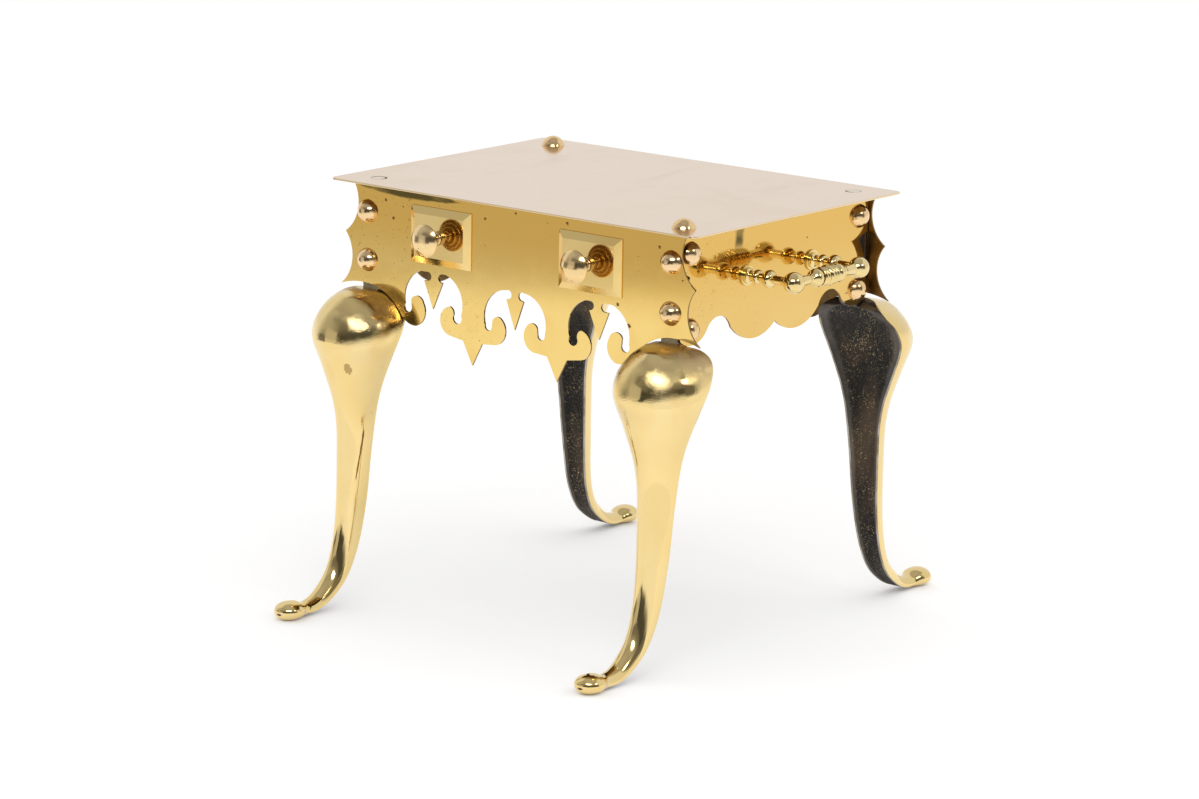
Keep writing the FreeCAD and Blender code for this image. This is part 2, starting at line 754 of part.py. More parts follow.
def make_arm(label, out, bar):
    """Turned handle arm: collar, two beads, slim neck and corner ball, bored to take the grip bar."""
    ball, length = sheet.ball_width / 2, float(sheet.arm_length)
    shank = sheet.shank_width / 2
    behind = sheet.sheet_gauge + sheet.nut_thickness + sheet.stem_proud
    (wide, first), (middle, second), (slim, third) = ARM_COLLAR
    ball_start = length - sqrt(ball**2 - (ARM_NECK + ARM_FLARE) ** 2)
    strokes = [
        ("line", (shank, -behind)),
        ("line", (shank, 0)),
        ("line", (wide, 0)),
        ("line", (wide, first)),
        ("line", (middle, first)),
        ("line", (middle, second)),
        ("arc", (slim, (second * 2 + third) / 3), (ARM_NECK, third)),
    ]
    for bead in ARM_BEADS:
        strokes += bead_strokes(*bead, ARM_NECK)
    strokes += [
        ("line", (ARM_NECK, ball_start - ARM_TAPER)),
        ("line", (ARM_NECK + ARM_FLARE, ball_start)),
        ("arc", (ball, length), (0, length + ball)),
        ("line", (0, -behind)),
    ]
    arm = turned(f"{label}_turned", (0, -behind), strokes)
    place(arm, TOWARDS["right"], size("side_face"), out, height_at(size("handle_drop")))
    bored = document.addObject("Part::Cut", label)
    bored.Base = arm
    bored.Tool = bar
    return bored


def make_grip_bar(label):
    """Turned grip bar between the corner balls, alike on both sides of its middle."""
    ball, half = sheet.ball_width / 2, sheet.handle_span / 2
    spigot, length = sheet.spigot_width / 2, float(sheet.spigot_length)
    seat = half - sqrt(ball**2 - BAR_SHOULDER**2)
    outer = half - ball + length
    upper = []
    for middle, radius, reach in BAR_BEADS[1:]:
        upper += bead_strokes(middle, radius, reach, BAR_GROOVE)
    middle, radius, reach = BAR_BEADS[0]
    upper += [
        ("arc", (BAR_NECK * 1.03, BAR_NECK_FROM), (BAR_NECK, BAR_NECK_AT)),
        ("line", (BAR_SHOULDER, seat)),
        ("line", (spigot, seat)),
        ("line", (spigot, outer)),
        ("line", (0, outer)),
    ]
    start = (BAR_GROOVE, reach)
    whole = upper + down_strokes(start, upper) + [("arc", (radius, 0), start)]
    bar = turned(label, start, whole)
    across = size("side_face") + size("arm_length")
    place(bar, TOWARDS["back"], across, size("handle_set"), height_at(size("handle_drop")))
    return bar


def down_strokes(start, strokes):
    """The lower half of a symmetrical turning, walked from its foot back up to its middle."""
    ends = [start] + [points[-1] for kind, *points in strokes]
    flipped = [("line", (0, -ends[-1][1]))]
    for (kind, *points), begin in zip(reversed(strokes), reversed(ends[:-1])):
        way = [begin] if kind == "line" else [points[0], begin]
        flipped.append((kind, *((radius, -along) for radius, along in way)))
    return flipped


def make_handles():
    """A fixed handle at each end; the left one is the right one mirrored."""
    set_back, half_span = size("handle_set"), size("handle_span") / 2
    front_out, back_out = set_back - half_span, set_back + half_span
    bar = make_grip_bar("right_handle_grip_bar")
    right = {
        "front_arm": make_arm("right_handle_front_arm", front_out, bar),
        "back_arm": make_arm("right_handle_back_arm", back_out, bar),
        "grip_bar": bar,
    }
    inside = size("side_face") - size("sheet_gauge")
    nuts = [
        make_nut(f"right_handle_nut_{name}", "left", inside, out, height_at(size("handle_drop")))
        for name, out in (("front", front_out), ("back", back_out))
    ]
    right["nuts"] = group("right_handle_nuts", nuts)
    nodes = list(right.values())
    for name, piece in right.items():
        nodes.append(mirror(f"left_handle_{name}", piece, Vector(1, 0, 0)))
    return nodes


# ------------------------------------------------------------------------------ build and export


def check_document():
    """Stops if any object of the document failed to build."""
    for thing in document.Objects:
        if "Invalid" in thing.State or "Error" in thing.State:
            raise RuntimeError(f"{thing.Label} failed: {thing.State}")


def export(nodes):
    """Writes each node to its own file, after checking its shape."""
    os.makedirs("parts", exist_ok=True)
    for node in nodes:
        shape = node.Shape
        if shape.isNull() or not shape.isValid() or not shape.Solids:
            raise RuntimeError(f"{node.Label} has no sound solid")
        shape.exportStep(f"parts/{node.Label}.step")
        print(f"{node.Label}: {len(shape.Solids)} solid(s), {shape.Volume / 1000:.1f} cm3")


fill_sheet()
node_list = [make_top_plate()]
node_list += make_top_rivets()
node_list += make_aprons()
node_list += make_legs()
node_list += make_apron_rivets()
node_list += make_drawers()
node_list += make_handles()
document.recompute()
check_document()
export(node_list)
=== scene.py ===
import json
from math import cos, pi, radians, sin, sqrt

import bmesh
import bpy
import numpy as np
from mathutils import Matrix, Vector, noise


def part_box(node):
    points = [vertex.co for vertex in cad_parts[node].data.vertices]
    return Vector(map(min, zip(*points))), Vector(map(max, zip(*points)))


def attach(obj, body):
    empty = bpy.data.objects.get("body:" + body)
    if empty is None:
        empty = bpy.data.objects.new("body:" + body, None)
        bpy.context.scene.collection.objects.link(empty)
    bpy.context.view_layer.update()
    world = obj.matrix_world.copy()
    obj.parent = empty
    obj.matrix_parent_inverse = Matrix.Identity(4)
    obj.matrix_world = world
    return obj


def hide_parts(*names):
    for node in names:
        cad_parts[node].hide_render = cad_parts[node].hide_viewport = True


# A polished brass footman on a pale studio floor.  Everything is in metres in the row's own frame:
# X runs along the front, the front faces -Y, Z is up and the floor is at zero.

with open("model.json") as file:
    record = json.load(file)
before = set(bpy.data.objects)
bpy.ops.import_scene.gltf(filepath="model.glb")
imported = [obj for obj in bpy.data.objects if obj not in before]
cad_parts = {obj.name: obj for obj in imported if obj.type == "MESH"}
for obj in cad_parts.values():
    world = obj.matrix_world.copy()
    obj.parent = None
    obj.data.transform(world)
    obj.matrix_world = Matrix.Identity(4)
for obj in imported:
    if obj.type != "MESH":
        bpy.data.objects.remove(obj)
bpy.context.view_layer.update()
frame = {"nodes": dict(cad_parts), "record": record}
nodes = frame["nodes"]

MILLIMETRE = 0.001
TOP_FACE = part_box("top_plate")[1][2]
TOP_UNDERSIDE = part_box("top_plate")[0][2]
FRONT_FACE = -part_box("front_apron")[0][1]
SIDE_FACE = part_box("right_side_apron")[1][0]

# ------------------------------------------------------------------------------- node tree helpers


class Tree:
    """Short ways to add shader nodes to one material or world."""

    def __init__(self, owner):
        owner.use_nodes = True
        self.nodes = owner.node_tree.nodes
        self.links = owner.node_tree.links
        self.nodes.clear()

    def set(self, socket, value):
        """Links an output to the socket, or writes a plain value into it."""
        if isinstance(value, bpy.types.NodeSocket):
            self.links.new(value, socket)
        elif isinstance(value, (tuple, list)) and len(value) == 3 and socket.type == "RGBA":
            socket.default_value = (*value, 1)
        else:
            socket.default_value = value

    def add(self, kind, inputs=None, **settings):
        node = self.nodes.new(kind)
        for name, value in settings.items():
            setattr(node, name, value)
        for name, value in (inputs or {}).items():
            self.set(node.inputs[name], value)
        return node

    def place(self):
        """Position in the row's frame: every object's own origin is the frame's origin."""
        return self.add("ShaderNodeTexCoord").outputs["Object"]

    def axes(self, vector):
        split = self.add("ShaderNodeSeparateXYZ", {"Vector": vector})
        return [split.outputs[axis] for axis in "XYZ"]

    def math(self, operation, first, second=0.0):
        node = self.add("ShaderNodeMath", operation=operation)
        for socket, value in zip(node.inputs, (first, second)):
            self.set(socket, value)
        return node.outputs["Value"]

    def noise(self, scale, detail=3.0, vector=None, distortion=0.0, roughness=0.5):
        inputs = {"Scale": scale, "Detail": detail, "Distortion": distortion, "Roughness": roughness}
        inputs["Vector"] = vector or self.place()
        return self.add("ShaderNodeTexNoise", inputs).outputs["Fac"]

    def stretched(self, sizes):
        """The same position with each axis scaled, for streaks and brush marks."""
        inputs = {"Vector": self.place(), "Scale": sizes}
        return self.add("ShaderNodeMapping", inputs).outputs["Vector"]

    def step(self, value, low, high, start=0.0, end=1.0):
        """Runs smoothly from start to end as the value goes from low to high."""
        inputs = {"Value": value, "From Min": low, "From Max": high, "To Min": start, "To Max": end}
        node = self.add("ShaderNodeMapRange", inputs, interpolation_type="SMOOTHSTEP")
        return node.outputs["Result"]

    def mix(self, factor, first, second):
        node = self.add("ShaderNodeMix", data_type="RGBA")
        for index, value in ((0, factor), (6, first), (7, second)):
            self.set(node.inputs[index], value)
        return node.outputs[2]

    def mix_value(self, factor, first, second):
        node = self.add("ShaderNodeMix", data_type="FLOAT")
        for index, value in ((0, factor), (2, first), (3, second)):
            self.set(node.inputs[index], value)
        return node.outputs[0]

    def bearing(self, x, y, zero):
        """Angle in degrees round from the bearing called zero to the direction of x and y."""
        east, north = cos(radians(zero)), sin(radians(zero))
        forward = self.math("ADD", self.math("MULTIPLY", x, east), self.math("MULTIPLY", y, north))
        sideways = self.math("SUBTRACT", self.math("MULTIPLY", y, east), self.math("MULTIPLY", x, north))
        return self.math("DEGREES", self.math("ARCTAN2", sideways, forward))

    def length(self, first, second):
        """Length of the hypotenuse over two sides."""
        squares = self.math("ADD", self.math("POWER", first, 2), self.math("POWER", second, 2))
        return self.math("SQRT", squares)

    def bump(self, height, distance, strength=1.0, normal=None):
        inputs = {"Height": height, "Distance": distance, "Strength": strength}
        if normal:
            inputs["Normal"] = normal
        return self.add("ShaderNodeBump", inputs).outputs["Normal"]


# -------------------------------------------------------------------------------------- the studio

# The studio as the polished brass sees it, by direction from the middle of the stand: bearing from
# the middle of the studio's open side, positive to the right of someone looking in from there,
# elevation, softness of the edges, all in degrees, and brightness.  Later patches lie over earlier
# ones.
STUDIO_BEARING = -51.1
EYE_HEIGHT = 0.2
STUDIO_BASE = 0.5
STUDIO_PATCHES = (
    ("ceiling", -180, 180, 66, 95, 14, 0.6),
    ("left wall", -190, -104, -40, 60, 12, 1.05),
    ("wall behind the left", -104, -60, 20, 46, 10, 0.66),
    ("right wall", 72, 190, -40, 56, 10, 1.04),
    ("floor", -190, 190, -95, -6, 3, 1.03),
    ("gap beside the board", -114, -85, -9, 4, 4, 0.2),
    ("pale table", -2, 50, -8, 4, 3, 0.95),
    ("haze over the dark room", -74, 70, 0, 32, 16, 0.24),
    ("dark corner", -62, -34, -9, 6, 3, 0.07),
    ("dark room", -60, -2, -4, 15, 4, 0.08),
    ("dark shelf", -34, 58, 5, 20, 6, 0.1),
    ("dark stand", 47, 68, -4, 26, 6, 0.2),
    ("pale board", -86, -50, -8.1, 17, 1.2, 0.7),
)


def studio(tree, vector):
    """Brightness of the studio in the direction of a vector."""
    x, y, z = tree.axes(vector)
    bearing = tree.bearing(x, y, STUDIO_BEARING)
    rise = tree.math("DEGREES", tree.math("ARCTAN2", z, tree.length(x, y)))
    bright = STUDIO_BASE
    for name, left, right, low, high, soft, value in STUDIO_PATCHES:
        inside = 1.0
        for angle, start, end in ((bearing, left, right), (rise, low, high)):
            enter = tree.step(angle, start - soft / 2, start + soft / 2)
            leave = tree.step(angle, end - soft / 2, end + soft / 2, 1.0, 0.0)
            inside = tree.math("MULTIPLY", inside, tree.math("MULTIPLY", enter, leave))
        drop = tree.math("MULTIPLY", bright, tree.math("SUBTRACT", 1.0, inside))
        bright = tree.math("ADD", drop, tree.math("MULTIPLY", inside, value))
    return bright


def build_world():
    world = bpy.data.worlds.new("studio")
    bpy.context.scene.world = world
    tree = Tree(world)
    direction = tree.add("ShaderNodeTexCoord").outputs["Generated"]
    light = tree.add("ShaderNodeBackground", {"Strength": studio(tree, direction)})
    output = tree.add("ShaderNodeOutputWorld")
    tree.links.new(light.outputs[0], output.inputs["Surface"])


FLOOR_GLOW = 0.64
FLOOR_WHITE = 0.66
FLOOR_REACH = 14.0
# Painted shadow: the floor's own glow fades within this reach of the stand, with this power of how open it
# lies.
FLOOR_SHADE_REACH = 0.5
FLOOR_SHADE_POWER = 0.5
ROOM_START = 0.5
ROOM_RISE = 0.0004


def ring_mesh(name, inner, outer, steps=96):
    """A flat ring or disc on the floor."""
    rows = [inner, outer] if inner else [outer]
    turns = [2 * pi * i / steps for i in range(steps)]
    points = [(radius * cos(turn), radius * sin(turn), 0) for radius in rows for turn in turns]
    if inner:
        faces = [(i, (i + 1) % steps, steps + (i + 1) % steps, steps + i) for i in range(steps)]
    else:
        faces = [tuple(range(steps))]
    mesh = bpy.data.meshes.new(name)
    mesh.from_pydata(points, [], faces)
    piece = bpy.data.objects.new(name, mesh)
    bpy.context.scene.collection.objects.link(piece)
    return piece


def build_floor():
    """A pale floor, and over it the room around the stand as only the brass sees it."""
    floor = ring_mesh("floor", 0, FLOOR_REACH)
    material = bpy.data.materials.new("floor")
    tree = Tree(material)
    shade = tree.add("ShaderNodeAmbientOcclusion", {"Distance": FLOOR_SHADE_REACH}, samples=8)
    open_share = tree.math("POWER", shade.outputs["AO"], FLOOR_SHADE_POWER)
    strength = tree.math("MULTIPLY", open_share, FLOOR_GLOW)
    glow = tree.add("ShaderNodeEmission", {"Color": (1, 1, 1), "Strength": strength})
    matt = tree.add("ShaderNodeBsdfDiffuse", {"Color": (FLOOR_WHITE,) * 3})
    both = tree.add("ShaderNodeAddShader")
    tree.links.new(glow.outputs[0], both.inputs[0])
    tree.links.new(matt.outputs[0], both.inputs[1])
    output = tree.add("ShaderNodeOutputMaterial")
    tree.links.new(both.outputs[0], output.inputs["Surface"])
    floor.data.materials.append(material)

    room = ring_mesh("room", ROOM_START, FLOOR_REACH)
    room.location.z = ROOM_RISE
    material = bpy.data.materials.new("room")
    tree = Tree(material)
    offset = tree.add("ShaderNodeVectorMath", {0: tree.place(), 1: (0, 0, -EYE_HEIGHT)}, operation="ADD")
    bright = studio(tree, offset.outputs["Vector"])
    glow = tree.add("ShaderNodeEmission", {"Strength": bright})
    output = tree.add("ShaderNodeOutputMaterial")
    tree.links.new(glow.outputs[0], output.inputs["Surface"])
    room.data.materials.append(material)
    for ray in ("camera", "diffuse", "transmission", "volume_scatter", "shadow"):
        setattr(room, f"visible_{ray}", False)


# Softboxes: bearing and elevation as above, distance, width, height and brightness.
SOFTBOXES = (
    ("softbox above the camera", -7, 35.5, 1.5, 1.0, 0.42, 4.6),
    ("softbox on the right", 51, 33, 1.8, 0.5, 0.38, 4.0),
)
LIGHT_AIM = Vector((0, 0, 0.2))


def build_lights():
    for name, bearing, rise, distance, width, height, bright in SOFTBOXES:
        angle = radians(STUDIO_BEARING + bearing)
        rise = radians(rise)
        away = Vector((cos(angle) * cos(rise), sin(angle) * cos(rise), sin(rise)))
        lamp = bpy.data.lights.new(name, "AREA")
        lamp.shape = "ELLIPSE"
        lamp.size = width
        lamp.size_y = height
        area = width * height * pi / 4
        lamp.energy = bright * pi * area
        piece = bpy.data.objects.new(name, lamp)
        piece.location = LIGHT_AIM + away * distance
        piece.visible_camera = False
        piece.rotation_euler = away.to_track_quat("Z", "Y").to_euler()
        bpy.context.scene.collection.objects.link(piece)


# The camera's place, its turns about X, Y and Z in degrees, and its lens in millimetres.
CAMERA_PLACE = (2.1853, -2.72406, 0.9562)
CAMERA_TURN = (77.182, -0.905, 39.099)
CAMERA_LENS = 138.85


def build_camera():
    camera = bpy.data.cameras.new("camera")
    camera.sensor_width = 36
    camera.lens = CAMERA_LENS
    camera.clip_end = 60
    piece = bpy.data.objects.new("camera", camera)
    bpy.context.scene.collection.objects.link(piece)
    piece.location = CAMERA_PLACE
    piece.rotation_euler = [radians(angle) for angle in CAMERA_TURN]
    bpy.context.scene.camera = piece


# --------------------------------------------------------------------------------------- materials


def finished(material, tree, **inputs):
    """Closes a material with one shader, metal unless told otherwise."""
    shader = tree.add("ShaderNodeBsdfPrincipled")
    for name, value in {"metallic": 1.0, **inputs}.items():
        tree.set(shader.inputs[name.replace("_", " ").title().replace("Ior", "IOR")], value)
    output = tree.add("ShaderNodeOutputMaterial")
    tree.links.new(shader.outputs[0], output.inputs["Surface"])
    return material


def new_material(name):
    material = bpy.data.materials.new(name)
    return material, Tree(material)


def groove_tarnish_and_shade(tree, reach):
    """One in corners, grooves and under overhangs, where ambient occlusion finds them, nothing on open
    surfaces: marks tarnish in grooves and painted shade.
    """
    shade = tree.add("ShaderNodeAmbientOcclusion", {"Distance": reach}, samples=6)
    return tree.step(shade.outputs["AO"], 0.62, 0.3)


def specks(tree, scale, size, share):
    """Small round marks, one in some of the cells of a loose grid."""
    cell = tree.add("ShaderNodeTexVoronoi", {"Scale": scale, "Vector": tree.place()})
    chosen = tree.math("LESS_THAN", tree.axes(cell.outputs["Color"])[0], share)
    mark = tree.step(cell.outputs["Distance"], size * scale, size * scale / 2)
    return tree.math("MULTIPLY", chosen, mark)


def polish(tree, rough=0.07, haze=0.05, wave=0.00006):
    """Roughness and relief of hand-polished brass: cloudy haze, hair scratches, filed waviness."""
    smear = tree.noise(60, 3, distortion=1.2)
    hair = tree.noise(240, 2, tree.stretched((1, 1, 6)))
    roughness = tree.math("ADD", rough, tree.math("MULTIPLY", tree.step(smear, 0.4, 0.75), haze))
    roughness = tree.math("ADD", roughness, tree.math("MULTIPLY", tree.step(hair, 0.5, 0.8), 0.03))
    ripple = tree.bump(tree.noise(34, 1.5), wave)
    return roughness, tree.bump(tree.noise(1500, 2), wave / 30, normal=ripple)


# Brown of tarnish and casting pits, also laid as painted shade where ambient occlusion finds grooves and
# undersides.
TARNISH_AND_SHADE = (0.16, 0.085, 0.02)
PIT_SHARE = 0.03


def polished(name, pale, deep, dirt_and_shade=TARNISH_AND_SHADE, reach=0.004, rough=0.07):
    """Polished brass with cloudy tarnish, small casting pits, and brown in its grooves and under overhangs,
    partly tarnish and partly painted shade.
    """
    material, tree = new_material(name)
    cloud = tree.step(tree.noise(22, 4, distortion=0.6), 0.35, 0.72)
    color = tree.mix(cloud, pale, deep)
    spots = specks(tree, 160, 0.0007, PIT_SHARE)
    # Painted shade: brown where ambient occlusion finds corners, grooves and undersides within the reach,
    # together with tarnish in the grooves.
    grime_and_shade = groove_tarnish_and_shade(tree, reach)
    roughness, relief = polish(tree, rough)
    color = tree.mix(spots, tree.mix(grime_and_shade, color, dirt_and_shade), dirt_and_shade)
    roughness = tree.math("ADD", roughness, tree.math("MULTIPLY", tree.math("MAXIMUM", grime_and_shade, spots), 0.25))
    return finished(material, tree, base_color=color, roughness=roughness, normal=relief)


CASTING_PALE = (0.885, 0.69, 0.335)
CASTING_DEEP = (0.87, 0.655, 0.285)
CASTING_BAND = (0.87, 0.62, 0.22)
CASTING_DULL = (0.47, 0.33, 0.18)
CASTING_FLAW = (0.24, 0.125, 0.035)
# Where the dull crown of a knee ends: out from the middle, and up to its full strength.
DULL_OUT = (0.144, 0.126)
DULL_HEIGHT = (0.222, 0.238)
# The speckle of the knees starts at this height.
SPECKLE_HEIGHT = (0.185, 0.2)


def casting():
    """The legs' polished front: duller on the crown behind the apron, a few casting flaws."""
    material, tree = new_material("leg_casting")
    x, y, z = tree.axes(tree.place())
    cloud = tree.step(tree.noise(18, 4, distortion=0.5), 0.35, 0.75)
    color = tree.mix(cloud, CASTING_PALE, CASTING_DEEP)
    bands = tree.step(tree.noise(60, 3, tree.stretched((1, 1, 0.12))), 0.35, 0.7)
    color = tree.mix(tree.math("MULTIPLY", bands, 0.35), color, CASTING_BAND)
    crown = tree.step(tree.math("ABSOLUTE", y), *DULL_OUT)
    dull = tree.math("MULTIPLY", crown, tree.step(z, *DULL_HEIGHT))
    brushed = tree.noise(75, 4, tree.stretched((0.5, 1, 1.6)), distortion=0.8)
    streaks = tree.step(brushed, 0.36, 0.56, 0.25, 1.0)
    dull = tree.math("MULTIPLY", tree.math("MULTIPLY", dull, streaks), tree.math("LESS_THAN", y, 0))
    spots = tree.math("MAXIMUM", specks(tree, 90, 0.0008, 0.03), specks(tree, 260, 0.0004, 0.04))
    roughness, relief = polish(tree, 0.07, 0.05)
    patches = tree.step(tree.noise(70, 3), 0.3, 0.6)
    knee = tree.math("MULTIPLY", tree.step(z, *SPECKLE_HEIGHT), patches)
    relief = tree.bump(tree.noise(1150, 2), 0.00022, strength=knee, normal=relief)
    color = tree.mix(tree.math("MULTIPLY", dull, 0.75), color, CASTING_DULL)
    flaws = tree.math("MAXIMUM", spots, leg_flaws(tree, x, y, z))
    color = tree.mix(flaws, color, CASTING_FLAW)
    roughness = tree.math("ADD", roughness, tree.math("MULTIPLY", tree.math("MAXIMUM", dull, spots), 0.3))
    return finished(material, tree, base_color=color, roughness=roughness, normal=relief)


# Stain and crack on the front left leg: across and height.
STAIN = (-0.1355, 0.1905)
STAIN_EDGE = (0.0029, 0.0022)
STAIN_SQUASH = 0.62
CRACK_TOP = (-0.1338, 0.142)
CRACK_FOOT = (-0.138, 0.0985)
CRACK_WIDTH = 0.0006


def leg_flaws(tree, x, y, z):
    """A brown stain under the knee of the front left leg, and a hair crack down its shin."""
    rough_edge = tree.math("MULTIPLY", tree.math("SUBTRACT", tree.noise(420, 3), 0.5), 0.0035)
    gap_x = tree.math("SUBTRACT", x, STAIN[0])
    gap_z = tree.math("MULTIPLY", tree.math("SUBTRACT", z, STAIN[1]), STAIN_SQUASH)
    gap = tree.length(gap_x, gap_z)
    stain = tree.step(tree.math("ADD", gap, rough_edge), *STAIN_EDGE)
    (top_x, top_z), (foot_x, foot_z) = CRACK_TOP, CRACK_FOOT
    along = tree.math("DIVIDE", tree.math("SUBTRACT", top_z, z), top_z - foot_z)
    middle = tree.math("ADD", top_x, tree.math("MULTIPLY", along, foot_x - top_x))
    gap = tree.math("ABSOLUTE", tree.math("SUBTRACT", x, middle))
    crack = tree.math("LESS_THAN", gap, tree.math("MULTIPLY", tree.noise(160, 3), CRACK_WIDTH))
    begun, ended = tree.step(z, foot_z, foot_z + 0.006), tree.step(z, top_z, top_z - 0.004)
    within = tree.math("MULTIPLY", begun, ended)
    both = tree.math("MAXIMUM", tree.math("MULTIPLY", stain, 0.6), tree.math("MULTIPLY", crack, within))
    return tree.math("MULTIPLY", both, tree.math("LESS_THAN", y, 0))


RIM_PALE = (0.50, 0.46, 0.40)
RIM_BROWN = (0.24, 0.19, 0.135)


def leg_rim():
    """Filed rim of a leg's back, dulled to a brownish grey."""
    material, tree = new_material("leg_rim")
    cloud = tree.step(tree.noise(70, 4), 0.35, 0.7)
    color = tree.mix(cloud, RIM_PALE, RIM_BROWN)
    relief = tree.bump(tree.noise(700, 3), 0.00012)
    return finished(material, tree, base_color=color, roughness=0.34, normal=relief)


BACK_WALL = (0.010, 0.008, 0.006)
BACK_WALL_BROWN = (0.085, 0.055, 0.03)
BACK_FLOOR = (0.075, 0.066, 0.056)
BACK_FLOOR_BROWN = (0.15, 0.115, 0.08)
BACK_GRAINS = (0.56, 0.42, 0.23)
BACK_FLAKES = (0.55, 0.42, 0.22)


def leg_back():
    """Scooped back, never polished: smooth dark walls, a gritty floor with brass showing in it."""
    material, tree = new_material("leg_back")
    hollow = tree.add("ShaderNodeAttribute", attribute_name="hollow").outputs["Fac"]
    floor = tree.step(tree.math("ADD", hollow, tree.math("MULTIPLY", tree.noise(120, 3), 0.3)), 0.5, 0.8)
    cloud = tree.step(tree.noise(30, 5, tree.stretched((1, 1, 0.45)), distortion=0.8), 0.42, 0.72)
    fine = tree.noise(880, 3, roughness=0.75)
    color = tree.mix(cloud, BACK_WALL, BACK_WALL_BROWN)
    color = tree.mix(floor, tree.mix(cloud, BACK_FLOOR, BACK_FLOOR_BROWN), color)
    blotch = tree.step(tree.noise(60, 5, tree.stretched((1, 1, 0.7)), roughness=0.65), 0.38, 0.62)
    grains = tree.math("MAXIMUM", specks(tree, 820, 0.0005, 0.4), specks(tree, 430, 0.0007, 0.16))
    grains = tree.math("MAXIMUM", grains, tree.step(fine, 0.56, 0.7, 0.0, 0.6))
    crumbs = tree.math("MULTIPLY", grains, tree.math("MAXIMUM", blotch, 0.22))
    crumbs = tree.math("MULTIPLY", crumbs, tree.mix_value(floor, 0.25, 1.0))
    color = tree.mix(tree.math("MULTIPLY", crumbs, 0.9), color, BACK_GRAINS)
    flakes = specks(tree, 150, 0.0011, 0.035)
    color = tree.mix(tree.math("MULTIPLY", flakes, floor), color, BACK_FLAKES)
    roughness = tree.mix_value(floor, 0.36, 0.56)
    relief = tree.bump(fine, 0.0005, strength=tree.mix_value(floor, 0.15, 0.8))
    return finished(
        material,
        tree,
        base_color=color,
        roughness=roughness,
        metallic=0.25,
        specular_ior_level=0.35,
        normal=relief,
    )


# One cast colour painted as light and shade: nearly black on the post's faces in shade under the top,
# lighter on its lit face against the apron.
POST_SHADED = (0.085, 0.078, 0.072)
POST_SHADED_BROWN = (0.13, 0.105, 0.078)
POST_LIT_FACE = (0.42, 0.34, 0.2)
POST_LIT_FACE_BROWN = (0.27, 0.2, 0.13)
# The post's lit face against the apron starts between these distances from the middle.
POST_LIT_FACE_FROM = (0.1135, 0.1165)


def leg_post():
    """Square post as cast, painted nearly black as shade under the top, with its face against the apron
    painted lighter as lit.
    """
    material, tree = new_material("leg_post")
    cloud = tree.step(tree.noise(60, 4), 0.35, 0.7)
    color = tree.mix(cloud, POST_SHADED, POST_SHADED_BROWN)
    out = tree.math("ABSOLUTE", tree.axes(tree.place())[1])
    # Painted light: the face against the apron is lighter.
    outer = tree.step(out, *POST_LIT_FACE_FROM)
    color = tree.mix(outer, color, tree.mix(cloud, POST_LIT_FACE, POST_LIT_FACE_BROWN))
    relief = tree.bump(tree.noise(500, 4), 0.0003)
    return finished(material, tree, base_color=color, roughness=0.36, metallic=0.8, normal=relief)


def marks_on(tree, along, drop, marks):
    """Pits at chosen places of a sheet, each with an uneven outline."""
    pits = 0.0
    for place, down, size in marks:
        reach = size * MILLIMETRE
        gap_x = tree.math("SUBTRACT", along, place * MILLIMETRE)
        gap_z = tree.math("SUBTRACT", drop, down * MILLIMETRE)
        gap = tree.length(gap_x, gap_z)
        uneven = tree.math("MULTIPLY", tree.math("SUBTRACT", tree.noise(700, 2), 0.5), 2 * reach)
        pit = tree.step(tree.math("ADD", gap, uneven), reach, reach / 1.7)
        pits = tree.math("MAXIMUM", pits, pit)
    return pits


SHEET_GAUGE = 0.0015
# Brown of the sheets' pits, also painted as shade where ambient occlusion finds corners.
SHEET_PITS_AND_SHADE = (0.2, 0.1, 0.03)
# Painted dark reflection under the top, and painted shade beside the handle.
SHEET_SHADE = (0.13, 0.095, 0.03)
SHEET_EDGE = (0.2, 0.115, 0.035)
SHEET_EDGE_PALE = (0.34, 0.21, 0.07)
INSIDE_PALE = (0.24, 0.14, 0.045)
INSIDE_DARK = (0.1, 0.06, 0.025)
# The front and back sheets' outside is painted deeper near the top and paler lower down, where it mirrors
# the bright floor, fading over this drop, and their left end is more worn.
DEEPER_DROP = (0.02, 0.085)
WORN_END = (0.02, -0.11)


